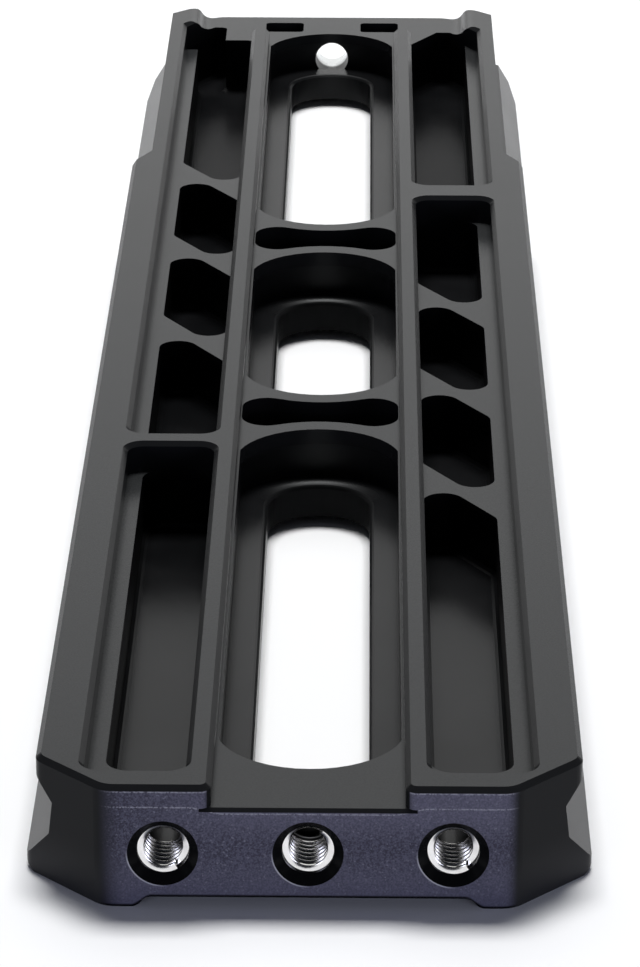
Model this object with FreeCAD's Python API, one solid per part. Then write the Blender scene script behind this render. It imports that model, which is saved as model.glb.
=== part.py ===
import FreeCAD, Part
import math
import os

os.makedirs("parts", exist_ok=True)
V = FreeCAD.Vector

# Plate as a whole: X across, Y along, Z up, origin under the middle of the plate
plateLength = 236.0
plateHeight = 11.0
topWidth = 45.6
cornerCut = 5.8
farCornerCut = 7.8
cornerRadius = 2.5
lipCornerRadius = 1.8
topChamfer = 0.45

# Clamping groove along each long side, upper lip above and wider lower lip below
grooveDepth = 1.41
grooveLean = 0.34
lipHeight = 1.85
grooveTopRise = 1.85
grooveFlat = 3.0
lowerLipOut = 1.0
lowerLipHeight = 1.4
bottomBevel = 0.6

# Drop-in end of the side lips
lipNotchDepth = 2.1
lipNotchLength = 65.0
lipNotchRun = 4.4
leadInLength = 14.0
leadInDepth = 1.8

# Middle channel with the two rails beside it
channelWidth = 16.0
channelDepth = 2.0
channelMouthRadius = 1.0
channelBevel = 0.3
railWidth = 2.2

# Side recesses and the deep pockets inside them
flangeWidth = 4.1
recessDepth = 3.0
recessRadius = 1.6
ledgeWidth = 1.45
floorThickness = 2.0
pocketRadius = 2.0
floorBevel = 0.4
floorEase = 0.16
endWall = 3.4
bossLength = 9.2

# Cross ribs at full height, one on each side, measured from the near end
leftRibStart = 77.1
leftRibWidth = 2.8
rightRibStart = 154.3
rightRibWidth = 4.6

# Slanting ribs between the deep pockets
slantAngle = 58.0
slantWidth = 1.55
slantPitch = 26.75
leftSlantFirst = 114.95
rightSlantFirst = 72.45
slantCount = 3

# Screw slots in the channel floor
slotWidth = 10.1
boreMargin = 0.2
boreBulge = 0.35
boreFloor = 4.1
slotEndMargin = 15.85
slotCentreGap = 25.95
middleSlotRun = 28.4
slotEdgeChamfer = 0.3
slotEdgeEase = 0.12
waistMargin = 0.1
waistRib = 2.1
waistRadius = 2.5

# Relief under the plate
reliefDepth = 0.9
reliefHalfWidth = 13.0
reliefBlend = 1.7

# Far end: lowered wall top between the two flanges
farStep = 2.3
farStepLength = 13.4
farStepHalfWidth = 15.2
farStepRun = 3.7
farWallLeft = 4.9
farWallRight = 6.8
farTabLength = 10.8
farTabShare = 0.41
farTabRadius = 0.8
farFlareLength = 6.3
farFlareShare = 0.4
farSlantLength = 12.5
farSlantShare = 0.4
farOpenGap = 1.6
farPocketLength = 4.2
farPocketWidth = 4.9
farPocketGap = 7.4
farPocketMargin = 2.6
farPocketDepth = 3.0
farPocketRadius = 0.6

# End holes with wire thread inserts at the near end
holePitch = 12.0
holeHeight = 4.9
insertOuter = 4.3
insertInner = 3.24
insertLength = 5.3
insertFit = 0.02
sinkDiameter = 5.9
farHoleDiameter = 4.2
farHoleHeight = 5.4

# How far cutting tools run past a face, and holes into the slot they meet
over = 1.0
breakIn = 0.3

# Values that follow from those above
halfLength = plateLength / 2.0
topHalf = topWidth / 2.0
grooveHalf = topHalf - grooveDepth
lowerHalf = topHalf + lowerLipOut
grooveTop = plateHeight - lipHeight - grooveTopRise
grooveFoot = grooveTop - grooveFlat
channelHalf = channelWidth / 2.0
channelFloor = plateHeight - channelDepth
railOuter = channelHalf + railWidth
recessOuter = topHalf - flangeWidth
recessFloor = plateHeight - recessDepth
recessWidth = recessOuter - railOuter
pocketOuter = recessOuter - ledgeWidth
pocketMiddle = (pocketOuter + railOuter) / 2.0
slantSlope = math.tan(math.radians(slantAngle))
slantHalfStep = slantWidth / math.cos(math.radians(slantAngle)) / 2.0
leftRibEnd = leftRibStart + leftRibWidth
rightRibEnd = rightRibStart + rightRibWidth
farRise = plateHeight + over
holeRadius = insertOuter / 2.0 + insertFit
sinkDepth = sinkDiameter / 2.0 - holeRadius
boreWidth = channelWidth - 2.0 * boreMargin
boreRadius = boreWidth / 2.0 + boreBulge
outerSlotRun = halfLength - slotEndMargin - slotCentreGap - middleSlotRun / 2.0


def fromNear(distance):
    return distance - halfLength


def cornerWire(corners, z):
    # corners: x, y and fillet radius, in order round the outline
    edges = []
    count = len(corners)
    starts = []
    ends = []
    for i in range(count):
        x, y, r = corners[i]
        here = V(x, y, z)
        before = V(corners[i - 1][0], corners[i - 1][1], z) - here
        after = V(corners[(i + 1) % count][0], corners[(i + 1) % count][1], z) - here
        before.normalize()
        after.normalize()
        if r <= 0.0:
            starts.append(here)
            ends.append(here)
            continue
        half = before.getAngle(after) / 2.0
        reach = r / math.tan(half)
        first = here + before * reach
        last = here + after * reach
        inward = before + after
        inward.normalize()
        middle = here + inward * (r / math.sin(half) - r)
        starts.append(first)
        ends.append(last)
        edges.append((i, Part.Arc(first, middle, last).toShape()))
    arcs = dict(edges)
    ordered = []
    for i in range(count):
        if i in arcs:
            ordered.append(arcs[i])
        nextStart = starts[(i + 1) % count]
        if ends[i].distanceToPoint(nextStart) > 1e-6:
            ordered.append(Part.LineSegment(ends[i], nextStart).toShape())
    return Part.Wire(ordered)


def prism(wire, height):
    return Part.Face(wire).extrude(V(0, 0, height))


def cornerPrism(corners, z0, z1):
    return prism(cornerWire(corners, z0), z1 - z0)


def pocketPrism(corners, z0, z1):
    # the floor's edge has a bevel and a flatter one below it
    solid = cornerPrism(corners, z0, z1)
    for size in (floorBevel, floorEase):
        low = [e for e in solid.Edges if e.BoundBox.ZMax < z0 + 1e-6]
        solid = solid.makeChamfer(size, low)
    return solid


def slotWire(halfWidth, radius, start, end, z):
    drop = math.sqrt(radius * radius - halfWidth * halfWidth)
    a = V(-halfWidth, start - drop, z)
    b = V(halfWidth, start - drop, z)
    c = V(halfWidth, end + drop, z)
    d = V(-halfWidth, end + drop, z)
    near = Part.Arc(a, V(0, start - radius, z), b).toShape()
    right = Part.LineSegment(b, c).toShape()
    far = Part.Arc(c, V(0, end + radius, z), d).toShape()
    left = Part.LineSegment(d, a).toShape()
    return Part.Wire([near, right, far, left])


def blend(x0, z0, x1, z1, y):
    # two equal arcs that leave and arrive level
    dx = x1 - x0
    dz = z1 - z0
    radius = (dx * dx + dz * dz) / (4.0 * abs(dz))
    turn = math.asin(min(1.0, abs(dx) / (2.0 * radius)))
    if radius < abs(dz) / 2.0:
        turn = math.pi - turn
    sx = math.copysign(1.0, dx)
    sz = math.copysign(1.0, dz)
    across = radius * math.sin(turn / 2.0) * sx
    along = radius * (1.0 - math.cos(turn / 2.0)) * sz
    middle = V((x0 + x1) / 2.0, y, (z0 + z1) / 2.0)
    first = Part.Arc(V(x0, y, z0), V(x0 + across, y, z0 + along), middle).toShape()
    last = Part.Arc(middle, V(x1 - across, y, z1 - along), V(x1, y, z1)).toShape()
    return [first, last]


def line(x0, z0, x1, z1, y):
    return Part.LineSegment(V(x0, y, z0), V(x1, y, z1)).toShape()


def box(x0, x1, y0, y1, z0, z1):
    return Part.makeBox(x1 - x0, y1 - y0, z1 - z0, V(x0, y0, z0))


def uprights(shape, ends):
    # upright edges that stand at one of the given Y values
    found = []
    for e in shape.Edges:
        b = e.BoundBox
        upright = b.XLength < 1e-6 and b.YLength < 1e-6
        if upright and min(abs(b.YMin - y) for y in ends) < 1e-6:
            found.append(e)
    return found


# Side profile drawn once and run along the plate
side = [
    (lowerHalf - bottomBevel, 0.0),
    (lowerHalf, bottomBevel),
    (lowerHalf, lowerLipHeight),
    (grooveHalf + grooveLean, grooveFoot),
    (grooveHalf, grooveTop),
    (topHalf, plateHeight - lipHeight),
    (topHalf, plateHeight),
]
ring = [V(x, -halfLength, z) for x, z in side]
ring = ring + [V(-x, -halfLength, z) for x, z in reversed(side)]
plate = Part.Face(Part.makePolygon(ring + [ring[0]])).extrude(V(0, plateLength, 0))

# Slanted corners at both ends, rounded where they meet the end faces and, near, the side lips
for sx in (-1.0, 1.0):
    for sy, cut in ((-1.0, cornerCut), (1.0, farCornerCut)):
        cutStart = topHalf - cut
        cutReach = lowerHalf + over - cutStart
        corner = [
            (sx * cutStart, sy * halfLength, 0.0),
            (sx * (cutStart + cutReach), sy * (halfLength - cutReach), 0.0),
            (sx * (cutStart + cutReach), sy * (halfLength + over), 0.0),
            (sx * cutStart, sy * (halfLength + over), 0.0),
        ]
        plate = plate.cut(cornerPrism(corner, -over, farRise))
lipEnds = [fromNear(cornerCut), fromNear(cornerCut + lowerLipOut)]
plate = plate.makeFillet(lipCornerRadius, uprights(plate, lipEnds))
plate = plate.makeFillet(cornerRadius, uprights(plate, [-halfLength, halfLength]))

# Channel open at both ends, its near mouth rounded
m = channelMouthRadius
nearY = -halfLength
bend = m * math.sqrt(0.5)
z = channelFloor
leftTurn = Part.Arc(V(-channelHalf - m, nearY, z), V(-channelHalf - m + bend, nearY + m - bend, z),
                    V(-channelHalf, nearY + m, z)).toShape()
rightTurn = Part.Arc(V(channelHalf, nearY + m, z), V(channelHalf + m - bend, nearY + m - bend, z),
                     V(channelHalf + m, nearY, z)).toShape()
rest = Part.makePolygon([
    V(channelHalf + m, nearY, z), V(channelHalf + m, nearY - over, z),
    V(-channelHalf - m, nearY - over, z), V(-channelHalf - m, nearY, z)])
run = Part.makePolygon([
    V(-channelHalf, nearY + m, z), V(-channelHalf, halfLength + over, z),
    V(channelHalf, halfLength + over, z), V(channelHalf, nearY + m, z)])
channel = Part.Wire([leftTurn] + run.Edges + [rightTurn] + rest.Edges)
plate = plate.cut(prism(channel, farRise - z))

# Small bevel on the channel floor's front edge
mouthHalf = channelHalf + channelMouthRadius
drop = channelBevel + over
wedge = Part.makePolygon([
    V(-mouthHalf, nearY + channelBevel, channelFloor), V(-mouthHalf, nearY - over, channelFloor - drop),
    V(-mouthHalf, nearY - over, channelFloor), V(-mouthHalf, nearY + channelBevel, channelFloor)])
plate = plate.cut(Part.Face(wedge).extrude(V(2.0 * mouthHalf, 0, 0)))


def recessCorners(sx, start, end, radius):
    return [
        (sx * railOuter, fromNear(start), radius),
        (sx * recessOuter, fromNear(start), radius),
        (sx * recessOuter, fromNear(end), radius),
        (sx * railOuter, fromNear(end), radius),
    ]


# Far walls of the side recesses: a square tab on the left, a slant on the right, flared outer corners
leftEnd = fromNear(plateLength - farWallLeft)
rightEnd = fromNear(plateLength - farWallRight)
leftTabStart = fromNear(plateLength - farTabLength)
leftTabEdge = railOuter + farTabShare * recessWidth
rightSlantStart = fromNear(plateLength - farSlantLength)
rightSlantEdge = railOuter + farSlantShare * recessWidth
flareWidth = farFlareShare * recessWidth
flareEdge = recessOuter - flareWidth
leftFlareStart = leftEnd - farFlareLength
leftFarWall = [
    (-recessOuter, leftFlareStart, 0.0),
    (-flareEdge, leftEnd, 0.0),
    (-leftTabEdge, leftEnd, farTabRadius),
    (-leftTabEdge, leftTabStart, 0.0),
    (-railOuter, leftTabStart, farTabRadius),
]


def rightFar(outer, radius):
    flareStart = rightEnd - farFlareLength * (outer - flareEdge) / flareWidth
    return [
        (railOuter, fromNear(rightRibEnd), radius),
        (outer, fromNear(rightRibEnd), radius),
        (outer, flareStart, 0.0),
        (flareEdge, rightEnd, 0.0),
        (rightSlantEdge, rightEnd, 0.0),
        (railOuter, rightSlantStart, 0.0),
    ]


leftFarNear = [
    (-railOuter, fromNear(leftRibEnd), recessRadius),
    (-recessOuter, fromNear(leftRibEnd), recessRadius),
]
recesses = [
    recessCorners(-1.0, endWall, leftRibStart, recessRadius),
    leftFarNear + leftFarWall,
    recessCorners(1.0, endWall, rightRibStart, recessRadius),
    rightFar(recessOuter, recessRadius),
]
for corners in recesses:
    plate = plate.cut(cornerPrism(corners, recessFloor, farRise))

# One small bevel on every edge of the top face
top = [e for e in plate.Edges if e.BoundBox.ZMin > plateHeight - 1e-6]
plate = plate.makeChamfer(topChamfer, top)

# Lowered end wall at the far end, blended up to the flanges
stepY = halfLength - farStepLength
stepTop = farStepHalfWidth + farStepRun
stepFloor = plateHeight - farStep
profile = [line(-stepTop, farRise, -stepTop, plateHeight, stepY)]
profile = profile + blend(-stepTop, plateHeight, -farStepHalfWidth, stepFloor, stepY)
profile = profile + [line(-farStepHalfWidth, stepFloor, farStepHalfWidth, stepFloor, stepY)]
profile = profile + blend(farStepHalfWidth, stepFloor, stepTop, plateHeight, stepY)
profile = profile + [line(stepTop, plateHeight, stepTop, farRise, stepY)]
profile = profile + [line(stepTop, farRise, -stepTop, farRise, stepY)]
step = Part.Face(Part.Wire(profile)).extrude(V(0, farStepLength + over, 0))
plate = plate.cut(step)

# Two small pockets in the lowered wall
for sx in (-1.0, 1.0):
    inner = farPocketGap / 2.0
    farSide = halfLength - farPocketMargin
    corners = [
        (sx * inner, farSide - farPocketLength, farPocketRadius),
        (sx * (inner + farPocketWidth), farSide - farPocketLength, farPocketRadius),
        (sx * (inner + farPocketWidth), farSide, farPocketRadius),
        (sx * inner, farSide, farPocketRadius),
    ]
    plate = plate.cut(cornerPrism(corners, stepFloor - farPocketDepth, farRise))

# Lips cut back towards the far end so that the plate drops into its clamp
notchX = topHalf - lipNotchDepth
notchStart = halfLength - lipNotchLength
clear = lowerHalf + over
for sx in (-1.0, 1.0):
    notch = [
        (sx * notchX, notchStart, 0.0),
        (sx * topHalf, notchStart - lipNotchRun, 0.0),
        (sx * clear, notchStart - lipNotchRun, 0.0),
        (sx * clear, halfLength + over, 0.0),
        (sx * notchX, halfLength + over, 0.0),
    ]
    plate = plate.cut(cornerPrism(notch, grooveFoot, farRise))
    leadIn = [
        (sx * lowerHalf, halfLength - leadInLength, 0.0),
        (sx * (lowerHalf - leadInDepth), halfLength, 0.0),
        (sx * (lowerHalf - leadInDepth), halfLength + over, 0.0),
        (sx * clear, halfLength + over, 0.0),
        (sx * clear, halfLength - leadInLength, 0.0),
    ]
    plate = plate.cut(cornerPrism(leadIn, -over, grooveFoot))


def slantAt(sx, middle, x):
    # far from the near end on the left outside, close to it on the right outside
    return fromNear(middle) - slantSlope * (x - sx * pocketMiddle)


def pocket(sx, nearSlant, farSlant, start, end):
    # four-sided pocket: each end is square at a set distance or follows a slanting rib
    inner = sx * railOuter
    outer = sx * pocketOuter
    if nearSlant is None:
        nearInner = fromNear(start)
        nearOuter = fromNear(start)
    else:
        nearInner = slantAt(sx, nearSlant + slantHalfStep, inner)
        nearOuter = slantAt(sx, nearSlant + slantHalfStep, outer)
    if farSlant is None:
        farInner = fromNear(end)
        farOuter = fromNear(end)
    else:
        farInner = slantAt(sx, farSlant - slantHalfStep, inner)
        farOuter = slantAt(sx, farSlant - slantHalfStep, outer)
    r = pocketRadius
    return [(inner, nearInner, r), (outer, nearOuter, r), (outer, farOuter, r), (inner, farInner, r)]


leftSlants = [leftSlantFirst + i * slantPitch for i in range(slantCount)]
rightSlants = [rightSlantFirst + i * slantPitch for i in range(slantCount)]
pockets = [pocket(-1.0, None, None, bossLength, leftRibStart)]
pockets.append(pocket(-1.0, None, leftSlants[0], leftRibEnd, None))
pockets.append(pocket(1.0, None, rightSlants[0], bossLength, None))
for i in range(slantCount - 1):
    pockets.append(pocket(-1.0, leftSlants[i], leftSlants[i + 1], None, None))
    pockets.append(pocket(1.0, rightSlants[i], rightSlants[i + 1], None, None))
pockets.append(pocket(1.0, rightSlants[-1], None, None, rightRibStart))
lastSlant = leftSlants[-1] + slantHalfStep
openStart = leftFlareStart - farOpenGap
pockets.append([
    (-railOuter, slantAt(-1.0, lastSlant, -railOuter), pocketRadius),
    (-pocketOuter, slantAt(-1.0, lastSlant, -pocketOuter), pocketRadius),
    (-pocketOuter, openStart, 0.0),
    (-recessOuter, openStart, 0.0),
] + leftFarWall)
pockets.append(rightFar(pocketOuter, pocketRadius))
for corners in pockets:
    plate = plate.cut(pocketPrism(corners, floorThickness, recessFloor + over))

# Three screw slots, each with a wider bore above a ledge
slotEnds = [
    (fromNear(slotEndMargin), fromNear(slotEndMargin + outerSlotRun)),
    (-middleSlotRun / 2.0, middleSlotRun / 2.0),
    (-fromNear(slotEndMargin + outerSlotRun), -fromNear(slotEndMargin)),
]
for start, end in slotEnds:
    bore = slotWire(boreWidth / 2.0, boreRadius, start, end, boreFloor)
    plate = plate.cut(prism(bore, farRise - boreFloor))
    slot = slotWire(slotWidth / 2.0, slotWidth / 2.0, start, end, -over)
    plate = plate.cut(prism(slot, boreFloor + 2.0 * over))
reach = slotWidth / 2.0 + 1e-3
for size in (slotEdgeChamfer, slotEdgeEase):
    rim = []
    for e in plate.Edges:
        b = e.BoundBox
        level = abs(b.ZMin - boreFloor) < 1e-6 and abs(b.ZMax - boreFloor) < 1e-6
        if level and b.XMax < reach and b.XMin > -reach:
            rim.append(e)
    plate = plate.makeChamfer(size, rim)
    reach = reach + size

# Waisted pockets between the slots, a rib of even width left round each slot end
waistHalf = channelHalf - waistMargin
for i in range(2):
    nearCentre = slotEnds[i][1]
    farCentre = slotEnds[i + 1][0]
    block = box(-waistHalf, waistHalf, nearCentre, farCentre, floorThickness, farRise)
    for centre in (nearCentre, farCentre):
        block = block.cut(Part.makeCylinder(boreRadius + waistRib, farRise, V(0, centre, 0)))
    upright = []
    for e in block.Edges:
        tall = e.BoundBox.ZLength > farRise - floorThickness - 1e-6
        if tall and e.BoundBox.XLength < 1e-6 and e.BoundBox.YLength < 1e-6:
            upright.append(e)
    plate = plate.cut(block.makeFillet(waistRadius, upright))

# Shallow relief along the underside
y = -halfLength - over
outerRelief = reliefHalfWidth + reliefBlend
profile = [line(-outerRelief, -over, -outerRelief, 0.0, y)]
profile = profile + blend(-outerRelief, 0.0, -reliefHalfWidth, reliefDepth, y)
profile = profile + [line(-reliefHalfWidth, reliefDepth, reliefHalfWidth, reliefDepth, y)]
profile = profile + blend(reliefHalfWidth, reliefDepth, outerRelief, 0.0, y)
profile = profile + [line(outerRelief, 0.0, outerRelief, -over, y)]
profile = profile + [line(outerRelief, -over, -outerRelief, -over, y)]
relief = Part.Face(Part.Wire(profile)).extrude(V(0, plateLength + 2.0 * over, 0))
plate = plate.cut(relief)

# End holes: three countersunk bores through the near wall, one plain bore through the far wall
holeX = [-holePitch, 0.0, holePitch]
slotWall = slotEndMargin - boreRadius
reaches = [bossLength + over, slotWall + breakIn, bossLength + over]
for x, reach in zip(holeX, reaches):
    mouth = V(x, -halfLength, holeHeight)
    plate = plate.cut(Part.makeCylinder(holeRadius, reach, mouth, V(0, 1, 0)))
    plate = plate.cut(Part.makeCone(sinkDiameter / 2.0, holeRadius, sinkDepth, mouth, V(0, 1, 0)))
back = V(0, halfLength, farHoleHeight)
farRadius = farHoleDiameter / 2.0
farSink = sinkDiameter / 2.0 - farRadius
plate = plate.cut(Part.makeCylinder(farRadius, slotWall + breakIn, back, V(0, -1, 0)))
plate = plate.cut(Part.makeCone(sinkDiameter / 2.0, farRadius, farSink, back, V(0, -1, 0)))

plate = plate.removeSplitter()
plate.exportStep("parts/base_plate.step")

names = ["insert_left", "insert_middle", "insert_right"]
for x, name in zip(holeX, names):
    foot = V(x, -halfLength + sinkDepth, holeHeight)
    outer = Part.makeCylinder(insertOuter / 2.0, insertLength, foot, V(0, 1, 0))
    inner = Part.makeCylinder(insertInner / 2.0, insertLength, foot, V(0, 1, 0))
    outer.cut(inner).exportStep("parts/" + name + ".step")
print("plate", plate.isValid(), len(plate.Solids), plate.BoundBox)
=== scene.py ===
import bpy
import math
import numpy as np
from mathutils import Matrix, Vector


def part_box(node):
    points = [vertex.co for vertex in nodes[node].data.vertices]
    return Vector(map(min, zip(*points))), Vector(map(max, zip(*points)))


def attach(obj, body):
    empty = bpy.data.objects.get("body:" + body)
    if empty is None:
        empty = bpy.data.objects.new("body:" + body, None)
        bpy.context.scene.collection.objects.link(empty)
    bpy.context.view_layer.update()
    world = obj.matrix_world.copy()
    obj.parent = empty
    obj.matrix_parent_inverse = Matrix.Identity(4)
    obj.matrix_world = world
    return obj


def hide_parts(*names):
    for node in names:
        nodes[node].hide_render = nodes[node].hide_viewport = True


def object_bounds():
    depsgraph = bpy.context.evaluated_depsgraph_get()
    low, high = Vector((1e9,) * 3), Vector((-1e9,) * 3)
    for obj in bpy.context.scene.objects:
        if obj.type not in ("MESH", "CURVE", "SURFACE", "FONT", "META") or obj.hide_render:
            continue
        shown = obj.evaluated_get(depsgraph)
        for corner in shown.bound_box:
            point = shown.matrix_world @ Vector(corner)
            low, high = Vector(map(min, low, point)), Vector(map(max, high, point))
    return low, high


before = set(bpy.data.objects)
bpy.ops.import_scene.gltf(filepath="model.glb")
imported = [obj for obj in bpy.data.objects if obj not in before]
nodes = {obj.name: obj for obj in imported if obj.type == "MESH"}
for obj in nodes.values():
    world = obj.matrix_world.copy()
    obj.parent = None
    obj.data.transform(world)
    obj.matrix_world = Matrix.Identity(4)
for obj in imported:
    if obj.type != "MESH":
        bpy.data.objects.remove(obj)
cadLow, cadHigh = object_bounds()
nearY = cadLow[1]  # the near end face
mm = 0.001  # sizes below are in millimetres
print("frame loaded:", ", ".join(sorted(nodes)))


# camera, at the photograph's angle
photoCamera = {
    "imageHeight": 967,  # pixels, the longer side of the photograph
    "focal": 4415.8,  # pixels
    "place": (4.24, -444.04, 169.62),  # in the plate's frame
    "down": 22.0,  # degrees below level
    "turn": -0.584,  # degrees to the right of the plate's length
    "tilt": -0.131,  # degrees of roll
    "sensor": 36.0,  # spans the longer side
    "clip": 0.01,  # metres
}


def aimCamera(values):
    # looks along turn and down, then rolls by tilt
    down, turn, tilt = (math.radians(values[name]) for name in ("down", "turn", "tilt"))
    ahead = Vector((math.sin(turn) * math.cos(down), math.cos(turn) * math.cos(down), -math.sin(down)))
    level = Vector((math.cos(turn), -math.sin(turn), 0.0))
    fall = ahead.cross(level)
    right = level * math.cos(tilt) + fall * math.sin(tilt)
    below = fall * math.cos(tilt) - level * math.sin(tilt)
    data = bpy.data.cameras.new("photoCamera")
    data.sensor_width = values["sensor"]
    data.lens = values["focal"] * values["sensor"] / values["imageHeight"]
    data.clip_start = values["clip"]
    camera = bpy.data.objects.new("photoCamera", data)
    bpy.context.scene.collection.objects.link(camera)
    turned = Matrix((right, -below, -ahead)).transposed().to_4x4()
    camera.matrix_world = Matrix.Translation(Vector(values["place"]) * mm) @ turned
    bpy.context.scene.camera = camera


aimCamera(photoCamera)
print("camera set")


# meshes from whole arrays
def sweepObject(name, rings, sharp):
    # rings[i, j]: point j of a closed outline at step i of a path; flat caps close both ends
    steps, around = rings.shape[:2]
    index = np.arange(steps * around).reshape(steps, around)
    after = np.roll(index, -1, axis=1)
    quads = np.stack([index[:-1], after[:-1], after[1:], index[1:]], axis=-1).reshape(-1, 4)
    faces = quads.tolist() + [index[0, ::-1].tolist(), index[-1].tolist()]
    points = rings.reshape(-1, 3)
    a, b, d = (points[quads[:, k]] for k in (0, 1, 3))
    middle = points.mean(axis=0)
    volume = np.einsum("ij,ij->i", np.cross(b - a, d - a), a - middle).sum()
    if volume < 0.0:  # turned inside out
        faces = [face[::-1] for face in faces]
    mesh = bpy.data.meshes.new(name)
    mesh.from_pydata(points.tolist(), [], faces)
    mesh.shade_smooth()
    mesh.set_sharp_from_angle(angle=math.radians(sharp))
    mesh.update()
    piece = bpy.data.objects.new(name, mesh)
    bpy.context.scene.collection.objects.link(piece)
    return piece


def helixRings(outline, values, axis, startY, turns, startAngle):
    # each outline point, a radius and a shift, turns clockwise round an axis along Y
    # and goes one pitch deeper a turn
    count = int(round(turns * values["steps"])) + 1
    turn = np.linspace(0.0, turns, count)[:, None]
    angle = np.radians(startAngle) + 2.0 * np.pi * turn
    radius = outline[None, :, 0]
    x = axis[0] + radius * np.sin(angle)
    z = axis[1] + radius * np.cos(angle)
    y = startY + values["pitch"] * turn + outline[None, :, 1]
    return np.stack([x, y + 0.0 * x, z], axis=-1) * mm


def sleeveBox(node):
    # limits of a CAD insert, and its axis across and up
    low, high = (np.array(corner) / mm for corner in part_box(node))
    return low, high, ((low[0] + high[0]) / 2.0, (low[2] + high[2]) / 2.0)


# wire thread inserts, one coil each in place of the plain sleeves
threadWire = {
    "pitch": 0.7,
    "steps": 96,  # path points a turn
    "crest": 0.1,  # half width of the rounded inner edge
    "crestPoints": 7,
    "rootGap": 0.03,  # between neighbouring turns
    "flank": 30.0,  # degrees
    "bore": 1.62,
    "back": 0.05,  # least thickness behind the flanks
    "clear": 0.01,  # inside the sleeve's outer size
    "sharp": 40.0,  # degrees
    "flat": {"none": 0.6, "most": 0.0, "share": 0.54},  # first turn, by height as a cosine
    "ends": {"insert_left": 146.0, "insert_middle": 35.0, "insert_right": 143.0},  # degrees from the top
}


def wireOutline(values, seat):
    # round inner edge, straight flanks to half a pitch less the gap, then a flat back on the seat
    wide = values["pitch"] / 2.0 - values["rootGap"]
    lean = math.radians(values["flank"])
    bend = np.linspace(-math.pi / 2 + lean, math.pi / 2 - lean, values["crestPoints"])
    size = values["crest"] / math.cos(lean)
    inner = np.stack([values["bore"] + size - size * np.cos(bend), size * np.sin(bend)], axis=-1)
    root = inner[-1, 0] + (wide - inner[-1, 1]) / math.tan(lean)
    root = min(root, seat - values["back"])
    back = np.array([[root, wide], [seat, wide], [seat, -wide], [root, -wide]])
    return np.concatenate([inner, back])


def flattenFront(rings, outline, values, startAngle):
    # front of the first turn moves out towards its foremost line, not at the top and most below the axis
    count = values["steps"]
    flat = values["flat"]
    angle = np.radians(startAngle) + np.linspace(0.0, 2.0 * np.pi, count, endpoint=False)
    weight = np.clip((flat["none"] - np.cos(angle)) / (flat["none"] - flat["most"]), 0.0, 1.0)
    tiny = 1e-6  # keeps the middle of the outline out of its front half
    ahead = outline[:, 1] < -tiny
    toFront = outline[:, 1].max() + outline[ahead, 1]
    rings[:count, ahead, 1] -= flat["share"] * weight[:, None] * toFront * mm


def makeInsert(node, values):
    # the wire's outline carried along a helix through the length of its sleeve
    low, high, axis = sleeveBox(node)
    outline = wireOutline(values, (high[0] - low[0]) / 2.0 - values["clear"])
    margin = outline[:, 1].max()
    turns = (high[1] - low[1] - 2.0 * margin) / values["pitch"]
    rings = helixRings(outline, values, axis, low[1] + margin, turns, values["ends"][node])
    flattenFront(rings, outline, values, values["ends"][node])
    coil = sweepObject("coil_" + node.split("_")[1], rings, values["sharp"])
    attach(coil, "root")
    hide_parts(node)
    return coil


coils = [makeInsert(node, threadWire) for node in sorted(threadWire["ends"])]
print("coils made:", len(coils))


# tapped thread that shows past the middle insert
tappedThread = {
    "pitch": 0.7,
    "steps": 96,  # path points a turn
    "depth": 0.16,  # ridge height
    "half": 0.2,  # half width at its foot
    "crest": 0.04,  # and at its top
    "wall": 2.165,  # just inside the drilled hole
    "end": 7.5,  # from the near face
    "gap": 0.1,  # behind the insert
    "start": 180.0,  # degrees from the top
    "sharp": 30.0,  # degrees
}


def makeTapped(node, values):
    # a flat-topped ridge carried along a helix on the drilled wall
    high, axis = sleeveBox(node)[1:]
    foot, top = values["wall"], values["wall"] - values["depth"]
    half, crest = values["half"], values["crest"]
    outline = np.array([[foot, -half], [top, -crest], [top, crest], [foot, half]])
    startY = high[1] + values["gap"] + half
    endY = nearY / mm + values["end"] - half
    turns = (endY - startY) / values["pitch"]
    rings = helixRings(outline, values, axis, startY, turns, values["start"])
    ridge = sweepObject("tapped_thread", rings, values["sharp"])
    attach(ridge, "root")
    return ridge


tapped = makeTapped("insert_middle", tappedThread)
print("tapped thread made")


# node helpers
def addNode(tree, kind, x, y, **values):
    node = tree.nodes.new(kind)
    node.location = (x, y)
    for name, value in values.items():
        setattr(node, name, value)
    return node


def feed(tree, socket, value):
    # a number or a colour is set on the socket, and an output is linked to it
    if isinstance(value, (int, float)):
        socket.default_value = value
    elif isinstance(value, tuple):
        socket.default_value = value + (1.0,)
    else:
        tree.links.new(value, socket)


def maths(tree, operation, x, y, *terms, clamp=False):
    node = addNode(tree, "ShaderNodeMath", x, y, operation=operation, use_clamp=clamp)
    for socket, term in zip(node.inputs, terms):
        feed(tree, socket, term)
    return node.outputs[0]


def product(tree, x, y, result, *terms):
    # one Multiply node after another
    for number, term in enumerate(terms):
        result = maths(tree, "MULTIPLY", x + 180 * number, y, result, term)
    return result


def band(tree, x, y, value, limits):
    # 0 up to the first limit, 1 from the second, smooth between
    node = addNode(tree, "ShaderNodeMapRange", x, y, interpolation_type="SMOOTHSTEP")
    feed(tree, node.inputs["Value"], value)
    feed(tree, node.inputs["From Min"], limits[0])
    feed(tree, node.inputs["From Max"], limits[1])
    return node.outputs["Result"]


def lengthBand(tree, x, y, value, limits):
    # the same between two lengths
    return band(tree, x, y, value, [limit * mm for limit in limits])


def mixColour(tree, x, y, factor, first, second):
    node = addNode(tree, "ShaderNodeMix", x, y, data_type="RGBA")
    for number, value in ((0, factor), (6, first), (7, second)):  # sockets of the colour mix
        feed(tree, node.inputs[number], value)
    return node.outputs[2]


def mixValue(tree, x, y, factor, first, second):
    node = addNode(tree, "ShaderNodeMix", x, y)
    for number, value in ((0, factor), (2, first), (3, second)):  # sockets of the value mix
        feed(tree, node.inputs[number], value)
    return node.outputs[0]


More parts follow.
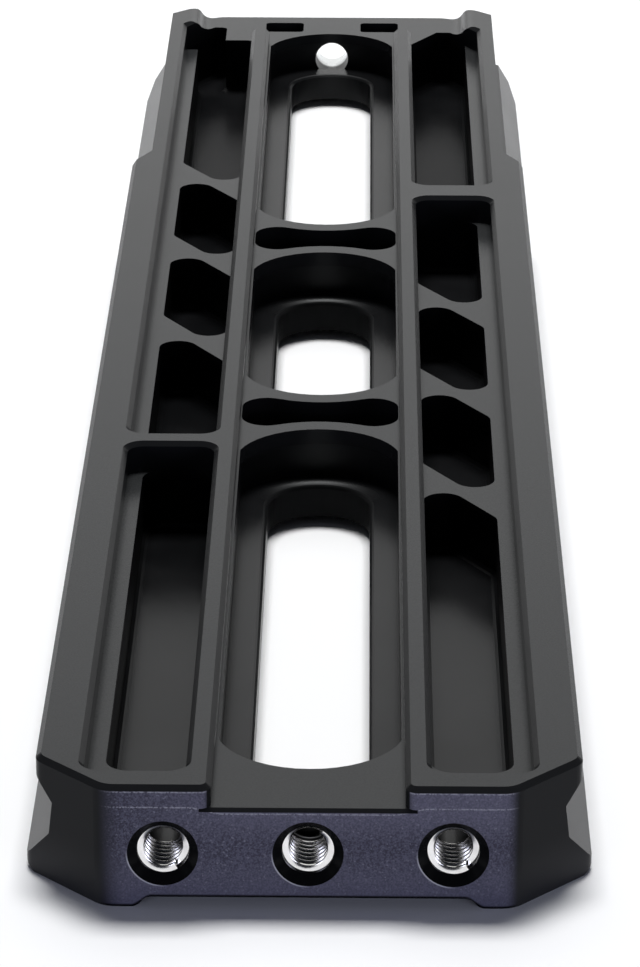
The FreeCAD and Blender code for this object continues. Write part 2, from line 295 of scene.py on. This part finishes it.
def distance(tree, x, y, across, rise):
    # square root of the summed squares of two lengths
    first = maths(tree, "MULTIPLY", x, y, across, across)
    second = maths(tree, "MULTIPLY", x, y - 160, rise, rise)
    return maths(tree, "SQRT", x + 160, y, maths(tree, "ADD", x + 80, y, first, second))


def separate(tree, x, y, vector):
    node = addNode(tree, "ShaderNodeSeparateXYZ", x, y)
    tree.links.new(vector, node.inputs[0])
    return node.outputs


def newGroup(name, givens, results):
    group = bpy.data.node_groups.new(name, "ShaderNodeTree")
    for socketName, value in givens.items():
        socket = group.interface.new_socket(socketName, in_out="INPUT", socket_type="NodeSocketFloat")
        socket.default_value = value
    for socketName in results:
        group.interface.new_socket(socketName, in_out="OUTPUT", socket_type="NodeSocketFloat")
    given = addNode(group, "NodeGroupInput", -900, 0)
    out = addNode(group, "NodeGroupOutput", 500, 0)
    place = addNode(group, "ShaderNodeTexCoord", -900, -260)
    return group, given.outputs, out.inputs, place.outputs["Object"]


def addGroup(tree, group, x, y, values):
    node = addNode(tree, "ShaderNodeGroup", x, y, node_tree=group)
    for name, value in values.items():
        node.inputs[name].default_value = value
    return node.outputs


# blasted grain, shared by all finishes
grainDefaults = {"Fine": 9000.0, "Slow": 120.0, "Grains": 5200.0, "Share": 0.04}
grainDetail = {"Fine": 2.0, "Slow": 4.0}  # octaves of noise


def grainGroup():
    # fine relief, slow change of tone and a few bright grains, which are the top share of random cells
    group, given, out, place = newGroup("fineGrain", grainDefaults, ("Height", "Tone", "Grain"))
    fine = addNode(group, "ShaderNodeTexNoise", -600, 260)
    slow = addNode(group, "ShaderNodeTexNoise", -600, 0)
    cells = addNode(group, "ShaderNodeTexVoronoi", -600, -280)
    fine.inputs["Detail"].default_value = grainDetail["Fine"]
    slow.inputs["Detail"].default_value = grainDetail["Slow"]
    for node, name in ((fine, "Fine"), (slow, "Slow"), (cells, "Grains")):
        group.links.new(place, node.inputs["Vector"])
        group.links.new(given[name], node.inputs["Scale"])
    parts = addNode(group, "ShaderNodeSeparateColor", -380, -280)
    group.links.new(cells.outputs["Color"], parts.inputs[0])
    edge = maths(group, "SUBTRACT", -180, -220, 1.0, given["Share"])
    over = maths(group, "SUBTRACT", 0, -220, parts.outputs[0], edge)
    bright = maths(group, "DIVIDE", 180, -220, over, given["Share"], clamp=True)
    group.links.new(fine.outputs["Fac"], out["Height"])
    group.links.new(slow.outputs["Fac"], out["Tone"])
    group.links.new(bright, out["Grain"])
    return group


# place beside the nearest insert, shared by the plate and the wire
insertAcross, insertUp = sleeveBox("insert_right")[2]
insertPlace = {"Pitch": insertAcross * mm, "Height": insertUp * mm}  # the middle one is at X 0


def insertAxisGroup():
    # across and above the nearest insert's axis, and the distance from it
    group, given, out, place = newGroup("insertAxis", insertPlace, ("Across", "Above", "Away"))
    parts = separate(group, -700, -260, place)
    nearest = maths(group, "DIVIDE", -520, 0, parts[0], given["Pitch"])
    nearest = maths(group, "ROUND", -340, 0, nearest)
    nearest = maths(group, "MULTIPLY", -160, 0, nearest, given["Pitch"])
    across = maths(group, "SUBTRACT", 20, 0, parts[0], nearest)
    above = maths(group, "SUBTRACT", 20, -200, parts[2], given["Height"])
    group.links.new(across, out["Across"])
    group.links.new(above, out["Above"])
    group.links.new(distance(group, 200, 0, across, above), out["Away"])
    return group


fineGrain = grainGroup()
insertAxis = insertAxisGroup()
print("node groups made")


def newMaterial(name):
    material = bpy.data.materials.new(name)
    material.use_nodes = True
    tree = material.node_tree
    tree.nodes.clear()
    out = addNode(tree, "ShaderNodeOutputMaterial", 900, 0)
    shader = addNode(tree, "ShaderNodeBsdfPrincipled", 600, 0)
    tree.links.new(shader.outputs[0], out.inputs["Surface"])
    return material, tree, shader


def addBump(tree, x, y, height, strength, depth, target):
    bump = addNode(tree, "ShaderNodeBump", x, y)
    bump.inputs["Strength"].default_value = strength
    bump.inputs["Distance"].default_value = depth
    tree.links.new(height, bump.inputs["Height"])
    tree.links.new(bump.outputs[0], target.inputs["Normal"])
    return bump


# dark anodised aluminium of the plate
anodisedFinish = {
    "top": ((0.0226, 0.0236, 0.0243), (0.0286, 0.0298, 0.0306)),  # dark and light of its speckle
    "side": (0.0116, 0.012, 0.0126),
    "deep": ((0.0042, 0.0044, 0.0048), (0.0076, 0.0078, 0.0084)),  # in the pockets, darker as painted shade
    "grain": {"Fine": 6800.0, "Slow": 90.0, "Grains": 7500.0, "Share": 0.08},
    "speckle": (0.32, 0.68),  # fine relief that spans a speckle
    "tone": (0.35, 0.65),  # slow noise that spans the change of tone
    "bump": (0.4, 0.018),  # strength and depth
    "roughness": (0.17, 0.25),
    "edgeRough": 0.14,  # added on the slanting edges in the pockets
    "edgeTurn": (0.99, 0.95),  # normals along Z between which an edge counts as slanting
    "upTurn": (0.7, 0.9),  # and between which the upper finish sets in
    "deepFrom": (7.8, 7.0),  # heights between which the pockets' painted shade, gloss and roughness set in
    "deepWithin": (17.6, 115.0),  # how far from the middle it reaches across and along
    "corner": {  # painted light on the foot of the slanted corners
        "colour": (0.034, 0.034, 0.035),
        "from": (5.5, -0.5),  # heights between which it sets in
        "length": 12.0,  # from the near end
    },
    "end": {  # cooler, lighter tone of the milled near face, partly its own finish and partly painted light
        "depth": (0.5, 0.04),  # behind that face, between which it sets in round the corners
        "turn": (-0.72, -0.77),  # and normals along Y that have it
        "speckle": ((0.036, 0.035, 0.052), (0.084, 0.082, 0.117)),
        "grains": (0.14, 0.14, 0.18),
        "pale": (0.16, 0.156, 0.216),  # painted light towards its foot and its top
        "footFrom": (6.5, -1.0),  # heights between which the foot's painted light sets in
        "footShare": 0.5,
        "headFrom": (5.0, 9.0),  # and the top's
        "headShare": 0.32,
        "headSide": (-16.0, -4.0),  # less so at the left
        "edge": (0.02, 0.02, 0.026),  # painted shade towards the slanted corners
        "edgeFrom": (15.4, 17.9),  # half widths between which that sets in
        "edgeMiddle": 0.4,  # and the place along X they are measured from
        "line": (0.0042, 0.0044, 0.0048),  # painted shade along the lower edge
        "lineFrom": (0.3, 0.1),  # heights over that edge between which it sets in
        "relief": (14.7, 13.0),  # half widths between which that edge rises
        "reliefHeight": 0.9,
    },
    "burr": {  # two pale broken machining lines across the near face, their paleness a painted highlight
        "colour": (0.25, 0.25, 0.29),
        "upper": 10.48,  # heights above the table
        "lower": 9.1,
        "sag": 0.55,  # of the lower line under the channel
        "sagFrom": (10.0, 7.0),  # half widths between which it sags
        "half": (0.09, 0.027),  # half widths of a line, faint and full
        "broken": (0.3, 0.62),  # fine relief between which they show
    },
    "rim": {  # painted highlight on the lower left edge of each countersink
        "colour": (0.4, 0.4, 0.44),
        "radius": 2.95,
        "half": (0.15, 0.045),  # half widths of the edge, faint and full
        "lean": (-2.5, -4.0),  # sums of across and above between which it sets in
        "sink": 2.93,  # radius of the countersink inside it, darkened as painted shade
        "sinkDepth": 1.5,
    },
    "hole": {  # bare metal in the far hole
        "colour": (0.86, 0.86, 0.85),
        "height": 5.4,
        "radius": (2.32, 2.3),
        "from": (113.0, 114.2),  # along the plate
    },
    "ledge": {  # rounded far edges of the ledges in the bores
        "ends": (-40.15, 14.2),  # far end centres of the near and middle slots, along the plate
        "radii": (7.8, 4.9),  # between which the ledge falls
        "fall": 1.15,
        "from": (0.0, 4.5),  # past the end centre, between which that sets in
        "rough": 0.45,  # added at the inner radius
    },
    "gloss": {  # mirrored share of the upper faces, flanks, pocket floors and pocket walls
        "top": 0.135,
        "side": 0.05,
        "deep": 0.14,
        "wall": 0.13,
        "short": 0.02,  # floors of the short pockets
        "shortFrom": (-38.0, -30.0),  # along the plate, between which these set in
        "shortSide": 10.0,  # from the middle
        "tint": (0.965, 0.995, 1.0),
    },
}


def endColour(tree, place, side, speckle, grain, edge, values):
    # speckle with bright grains, painted light towards foot and top, painted shade towards the corners
    # and along the lower edge
    colour = mixColour(tree, -400, 500, speckle, *values["speckle"])
    foot = lengthBand(tree, -700, 700, place[2], values["footFrom"])
    foot = maths(tree, "MULTIPLY", -500, 700, foot, values["footShare"])
    head = lengthBand(tree, -900, 850, place[2], values["headFrom"])
    right = lengthBand(tree, -900, 1000, place[0], values["headSide"])
    head = product(tree, -700, 850, head, right, values["headShare"])
    pale = maths(tree, "MAXIMUM", -350, 700, foot, head)
    colour = mixColour(tree, -300, 500, pale, colour, values["pale"])
    colour = mixColour(tree, -200, 500, grain["Grain"], colour, values["grains"])
    colour = mixColour(tree, -100, 500, edge, colour, values["edge"])
    # painted shade just over the lower edge, which rises over the underside relief
    raised = lengthBand(tree, -700, 1150, side, values["relief"])
    raised = maths(tree, "MULTIPLY", -550, 1150, raised, values["reliefHeight"] * mm)
    over = maths(tree, "SUBTRACT", -400, 1150, place[2], raised)
    line = lengthBand(tree, -250, 1150, over, values["lineFrom"])
    return mixColour(tree, -50, 500, line, colour, values["line"])


def burrMask(tree, place, side, grain, values):
    # where the burr lines' painted highlight goes: near either of two heights, the lower one sagging
    # under the channel, and broken by the grain
    sag = lengthBand(tree, -900, -360, side, values["sagFrom"])
    drop = maths(tree, "MULTIPLY", -700, -360, sag, -values["sag"] * mm)
    lower = maths(tree, "ADD", -520, -360, drop, values["lower"] * mm)
    masks = []
    for level, y in ((lower, -360), (values["upper"] * mm, -560)):
        away = maths(tree, "SUBTRACT", -340, y, place[2], level)
        away = maths(tree, "ABSOLUTE", -160, y, away)
        masks.append(lengthBand(tree, 20, y, away, values["half"]))
    lines = maths(tree, "MAXIMUM", 200, -420, *masks)
    broken = band(tree, 200, -620, grain["Height"], values["broken"])
    return maths(tree, "MULTIPLY", 380, -420, lines, broken)


def rimMask(tree, axis, values):
    # near one radius from the insert's axis, on the lower left only, where the painted highlight goes
    away = maths(tree, "SUBTRACT", -300, -1300, axis["Away"], values["radius"] * mm)
    away = maths(tree, "ABSOLUTE", -120, -1300, away)
    ring = lengthBand(tree, 60, -1300, away, values["half"])
    lean = maths(tree, "ADD", -300, -1500, axis["Across"], axis["Above"])
    lean = lengthBand(tree, 60, -1500, lean, values["lean"])
    return maths(tree, "MULTIPLY", 240, -1300, ring, lean)


def holeMask(tree, place, values):
    # within a radius of the far hole's axis, from one length on
    above = maths(tree, "SUBTRACT", -1100, -1700, place[2], values["height"] * mm)
    away = distance(tree, -500, -1700, place[0], above)
    inside = lengthBand(tree, -300, -1700, away, values["radius"])
    beyond = lengthBand(tree, -300, -1900, place[1], values["from"])
    return maths(tree, "MULTIPLY", -100, -1700, beyond, inside)


def ledgeMask(tree, place, values):
    # square of the way from the outer to the inner radius, behind each slot's far end
    outer, inner = values["radii"]
    total = 0.0
    for number, end in enumerate(values["ends"]):
        y = -2100 - 400 * number
        past = maths(tree, "SUBTRACT", -1300, y, place[1], end * mm)
        away = distance(tree, -1100, y, place[0], past)
        reach = maths(tree, "SUBTRACT", -800, y, outer * mm, away)
        reach = maths(tree, "DIVIDE", -650, y, reach, (outer - inner) * mm, clamp=True)
        behind = lengthBand(tree, -650, y - 200, past, values["from"])
        reach = product(tree, -500, y, reach, reach, behind)
        total = maths(tree, "ADD", -150, y, reach, total)
    return total


def mirroredShare(tree, place, side, up, low, values):
    # upper faces, pocket floors and flanks, with the short pockets dullest
    short = lengthBand(tree, -900, -800, place[1], values["shortFrom"])
    outside = maths(tree, "GREATER_THAN", -900, -1000, side, values["shortSide"] * mm)
    short = maths(tree, "MULTIPLY", -700, -900, short, outside)
    floor = mixValue(tree, -550, -900, short, values["deep"], values["short"])
    level = mixValue(tree, -400, -800, low, values["top"], floor)
    upright = mixValue(tree, -400, -700, low, values["side"], values["wall"])
    return mixValue(tree, -200, -800, up, upright, level)


def anodisedMaterial(values):
    # colours of the plate's faces, each mixed over the last by a mask of place and facing
    material, tree, shader = newMaterial("anodisedPlate")
    end, corner, rim = values["end"], values["corner"], values["rim"]
    grain = addGroup(tree, fineGrain, -900, 200, values["grain"])
    axis = addGroup(tree, insertAxis, -500, -1400, insertPlace)
    given = addNode(tree, "ShaderNodeTexCoord", -1500, -200)
    place = separate(tree, -1300, -200, given.outputs["Object"])
    facing = separate(tree, -1300, -500, given.outputs["Normal"])
    side = maths(tree, "ABSOLUTE", -1100, -360, place[0])
    along = maths(tree, "ABSOLUTE", -1100, -260, place[1])
    depth = maths(tree, "SUBTRACT", -1100, -160, place[1], nearY)  # behind the near face
    # where each finish, painted light and painted shade lies
    near = lengthBand(tree, -1000, -100, depth, end["depth"])
    turned = band(tree, -1100, -500, facing[1], end["turn"])
    onEnd = maths(tree, "MULTIPLY", -900, -100, near, turned)
    # painted shade towards the slanted corners of the near face
    shifted = maths(tree, "SUBTRACT", -700, 1300, place[0], end["edgeMiddle"] * mm)
    shifted = maths(tree, "ABSOLUTE", -550, 1300, shifted)
    edge = lengthBand(tree, -400, 1300, shifted, end["edgeFrom"])
    up = band(tree, -700, -1000, facing[2], values["upTurn"])
    low = lengthBand(tree, -900, -800, place[2], values["deepFrom"])
    across, lengthwise = values["deepWithin"]
    withinSide = maths(tree, "LESS_THAN", -900, -700, side, across * mm)
    withinLength = maths(tree, "LESS_THAN", -900, -600, along, lengthwise * mm)
    low = product(tree, -700, -700, low, withinSide, withinLength)
    # painted light towards the foot of the slanted corners, near the near end
    foot = lengthBand(tree, -900, -1200, place[2], corner["from"])
    close = maths(tree, "LESS_THAN", -900, -1350, depth, corner["length"] * mm)
    foot = maths(tree, "MULTIPLY", -700, -1250, foot, close)
    # colour of flanks, with painted light at the foot of the slanted corners, of upper faces, and of
    # pockets, darker there as painted shade
    speckle = band(tree, -700, 500, grain["Height"], values["speckle"])
    tone = band(tree, -700, 300, grain["Tone"], values["tone"])
    flank = mixColour(tree, -600, -50, foot, values["side"], corner["colour"])
    upper = mixColour(tree, -600, 100, speckle, *values["top"])
    upper = mixColour(tree, -500, 100, up, flank, upper)
    deep = mixColour(tree, -500, 300, tone, *values["deep"])
    colour = mixColour(tree, -400, 300, low, upper, deep)
    # near face with painted light and shade, its burr lines with a painted highlight, and its
    # countersinks with a painted highlight on the rim and painted shade inside
    milled = endColour(tree, place, side, speckle, grain, edge, end)
    colour = mixColour(tree, 0, 300, onEnd, colour, milled)
    inner = maths(tree, "SUBTRACT", 380, -560, 1.0, edge)
    lines = burrMask(tree, place, side, grain, values["burr"])
    lines = product(tree, 560, -420, lines, onEnd, inner)
    colour = mixColour(tree, 100, 300, lines, colour, values["burr"]["colour"])
    # painted highlight on each countersink's rim
    ring = maths(tree, "MULTIPLY", 420, -1300, rimMask(tree, axis, rim), onEnd)
    colour = mixColour(tree, 200, 300, ring, colour, rim["colour"])
    # painted shade inside the countersinks
    sunk = maths(tree, "LESS_THAN", -300, -1600, axis["Away"], rim["sink"] * mm)
    shallow = maths(tree, "LESS_THAN", -300, -1700, depth, rim["sinkDepth"] * mm)
    sunk = maths(tree, "MULTIPLY", -120, -1600, sunk, shallow)
    colour = mixColour(tree, 300, 300, sunk, colour, values["deep"][0])
    # bare metal in the far hole
    bare = holeMask(tree, place, values["hole"])
    colour = mixColour(tree, 400, 300, bare, colour, values["hole"]["colour"])
    tree.links.new(colour, shader.inputs["Base Color"])
    tree.links.new(bare, shader.inputs["Metallic"])
    # gloss, roughness and relief
    gloss = values["gloss"]
    shader.inputs["Specular Tint"].default_value = gloss["tint"] + (1.0,)
    share = mirroredShare(tree, place, side, up, low, gloss)
    tree.links.new(share, shader.inputs["Specular IOR Level"])
    rough = mixValue(tree, -200, -1000, grain["Tone"], *values["roughness"])
    slanting = band(tree, -700, -1150, facing[2], values["edgeTurn"])
    slanting = product(tree, -500, -1150, slanting, low, values["edgeRough"])
    rough = maths(tree, "ADD", 0, -1000, rough, slanting)
    rounded = ledgeMask(tree, place, values["ledge"])
    softer = maths(tree, "MULTIPLY", 0, -1900, rounded, values["ledge"]["rough"])
    tree.links.new(maths(tree, "ADD", 150, -1900, rough, softer), shader.inputs["Roughness"])
    strength, bumpDepth = values["bump"]
    fine = addBump(tree, 300, -150, grain["Height"], strength, bumpDepth * mm, shader)
    fall = maths(tree, "MULTIPLY", 0, -2100, rounded, -values["ledge"]["fall"] * mm)
    addBump(tree, 150, -2100, fall, 1.0, 1.0, fine)  # heights as they are, in metres
    return material


# bright stainless wire of the inserts
wireFinish = {
    "tone": ((0.72, 0.71, 0.7), (0.9, 0.89, 0.88)),  # dark and light
    "roughness": (0.1, 0.18),
    "grain": {"Fine": 11000.0, "Slow": 2500.0, "Grains": 6000.0, "Share": 0.02},
    "bump": (0.05, 0.01),  # strength and depth
    "groove": (0.06, 0.058, 0.056),  # painted shade between the turns
    "grooveFrom": (1.66, 1.86),  # radii between which that sets in
    "firstTurn": 1.75,  # from the near face, kept bright, without the painted shade
}

# tapped aluminium behind the middle insert
tappedFinish = {
    **wireFinish,
    "tone": ((0.3, 0.3, 0.31), (0.45, 0.45, 0.46)),
    "roughness": (0.3, 0.4),
    "groove": (0.03, 0.03, 0.032),
    "grooveFrom": (2.01, 2.06),
}


def threadMaterial(name, values):
    # metal whose tone darkens with the radius as painted shade, from the crests into the grooves
    material, tree, shader = newMaterial(name)
    grain = addGroup(tree, fineGrain, -700, 100, values["grain"])
    axis = addGroup(tree, insertAxis, -700, -400, insertPlace)
    given = addNode(tree, "ShaderNodeTexCoord", -900, -650)
    place = separate(tree, -700, -650, given.outputs["Object"])
    depth = maths(tree, "SUBTRACT", -500, -650, place[1], nearY)  # behind the near face
    behind = maths(tree, "GREATER_THAN", -300, -650, depth, values["firstTurn"] * mm)
    groove = lengthBand(tree, -300, -400, axis["Away"], values["grooveFrom"])
    groove = maths(tree, "MULTIPLY", -100, -400, groove, behind)
    colour = mixColour(tree, -300, 200, grain["Tone"], *values["tone"])
    colour = mixColour(tree, 100, 200, groove, colour, values["groove"])
    tree.links.new(colour, shader.inputs["Base Color"])
    shader.inputs["Metallic"].default_value = 1.0
    rough = mixValue(tree, -300, -60, grain["Tone"], *values["roughness"])
    tree.links.new(rough, shader.inputs["Roughness"])
    strength, bumpDepth = values["bump"]
    addBump(tree, 200, -200, grain["Height"], strength, bumpDepth * mm, shader)
    return material


def paint(piece, material):
    piece.data.materials.clear()
    piece.data.materials.append(material)


def repaint(piece, material):
    # CAD nodes keep their mesh and only change what their slots hold
    for holder in piece.material_slots:
        holder.material = material


plateMetal = anodisedMaterial(anodisedFinish)
wireMetal = threadMaterial("stainlessWire", wireFinish)
tappedMetal = threadMaterial("tappedAluminium", tappedFinish)
repaint(nodes["base_plate"], plateMetal)
for node in threadWire["ends"]:
    repaint(nodes[node], wireMetal)
for coil in coils:
    paint(coil, wireMetal)
paint(tapped, tappedMetal)
print("materials set")


# pale table, studio light and white surroundings
studio = {
    "tableSize": 6.0,  # metres
    "tableColour": (0.96, 0.963, 0.968),
    "tableRough": 0.6,
    "tableGloss": 0.2,
    "fill": 0.045,  # world light on the object
    "fillColour": (0.8, 0.85, 1.0),
    "fillMirrored": 0.5,  # share of it that gloss shows
    "backdrop": {  # white wall that gloss shows, by direction
        "behind": (-0.1, 0.55),  # along Y
        "top": (0.9, 0.25),  # along Z
        "wide": (0.8, 0.3),  # along X
    },
    "panels": {  # pale walls that gloss shows on either side of the camera, by direction
        "inner": (0.24, 0.42),  # along X
        "outer": (0.95, 0.8),
        "top": (0.5, 0.3),  # along Z
    },
    "lamps": {  # metres and watts
        "key": {
            "size": (0.5, 0.36), "place": (0.0, 0.34, 1.16),
            "power": 14.9, "colour": (1.0, 1.0, 1.0)},
        "back": {
            "size": (0.9, 0.5), "place": (0.0, 0.75, 0.95),
            "power": 2.6, "colour": (1.0, 1.0, 1.0)},
        "frontLeft": {
            "size": (0.5, 0.32), "place": (-0.68, -1.02, 0.2),
            "power": 1.95, "colour": (0.72, 0.76, 1.0)},
        "frontRight": {
            "size": (0.6, 0.32), "place": (0.64, -1.04, 0.2),
            "power": 2.85, "colour": (0.72, 0.76, 1.0)},
    },
}


def makeTable(values):
    half = values["tableSize"] / 2.0
    corners = [(-half, -half, 0.0), (half, -half, 0.0), (half, half, 0.0), (-half, half, 0.0)]
    mesh = bpy.data.meshes.new("table")
    mesh.from_pydata(corners, [], [(0, 1, 2, 3)])
    table = bpy.data.objects.new("table", mesh)
    bpy.context.scene.collection.objects.link(table)
    material, _, shader = newMaterial("paleTable")
    shader.inputs["Base Color"].default_value = values["tableColour"] + (1.0,)
    shader.inputs["Roughness"].default_value = values["tableRough"]
    shader.inputs["Specular IOR Level"].default_value = values["tableGloss"]
    paint(table, material)


def mirroredWalls(tree, values):
    # white where a direction points at the backdrop or at one of the two panels
    backdrop, panels = values["backdrop"], values["panels"]
    given = addNode(tree, "ShaderNodeTexCoord", -1000, -300)
    parts = separate(tree, -800, -300, given.outputs["Generated"])
    beside = maths(tree, "ABSOLUTE", -800, -700, parts[0])
    behind = band(tree, -600, -300, parts[1], backdrop["behind"])
    under = band(tree, -600, -550, parts[2], backdrop["top"])
    within = band(tree, -600, -800, beside, backdrop["wide"])
    wall = product(tree, -400, -300, behind, under, within)
    front = maths(tree, "LESS_THAN", -600, -1000, parts[1], 0.0)
    for y, part, name in ((-1200, beside, "inner"), (-1400, beside, "outer"), (-1600, parts[2], "top")):
        front = maths(tree, "MULTIPLY", -400, y, front, band(tree, -600, y, part, panels[name]))
    return maths(tree, "MAXIMUM", 0, -480, wall, front)


def lightWorld(values):
    # dim fill for the object, white for the camera and for what gloss shows of the walls
    world = bpy.data.worlds.new("whiteRoom")
    bpy.context.scene.world = world
    world.use_nodes = True
    tree = world.node_tree
    tree.nodes.clear()
    out = addNode(tree, "ShaderNodeOutputWorld", 900, 0)
    path = addNode(tree, "ShaderNodeLightPath", -600, 0).outputs
    mirrored = maths(tree, "MULTIPLY", 180, -300, mirroredWalls(tree, values), path["Is Glossy Ray"])
    seen = maths(tree, "MAXIMUM", 180, 0, path["Is Camera Ray"], mirrored)
    seen = maths(tree, "MAXIMUM", 360, 0, seen, path["Is Transmission Ray"])
    unseen = values["fill"] * (1.0 - values["fillMirrored"])
    unseen = maths(tree, "MULTIPLY", 0, -100, path["Is Glossy Ray"], unseen)
    soft = addNode(tree, "ShaderNodeBackground", 360, -200)
    soft.inputs["Color"].default_value = values["fillColour"] + (1.0,)
    tree.links.new(maths(tree, "SUBTRACT", 180, -150, values["fill"], unseen), soft.inputs["Strength"])
    white = addNode(tree, "ShaderNodeBackground", 360, -400)
    white.inputs["Color"].default_value = (1.0, 1.0, 1.0, 1.0)
    mix = addNode(tree, "ShaderNodeMixShader", 600, 0)
    for socket, output in zip(mix.inputs, (seen, soft.outputs[0], white.outputs[0])):
        tree.links.new(output, socket)
    tree.links.new(mix.outputs[0], out.inputs["Surface"])


def addSoftbox(name, values):
    data = bpy.data.lights.new(name, "AREA")
    data.shape = "RECTANGLE"
    data.size, data.size_y = values["size"]
    data.energy = values["power"]
    data.color = values["colour"]
    lamp = bpy.data.objects.new(name, data)
    bpy.context.scene.collection.objects.link(lamp)
    lamp.location = values["place"]
    ahead = -Vector(values["place"])  # lamps look at the origin
    lamp.rotation_euler = ahead.to_track_quat("-Z", "Y").to_euler()


makeTable(studio)
lightWorld(studio)
for name, lamp in studio["lamps"].items():
    addSoftbox(name, lamp)
bpy.context.scene.view_settings.view_transform = "Standard"
print("table and light set")
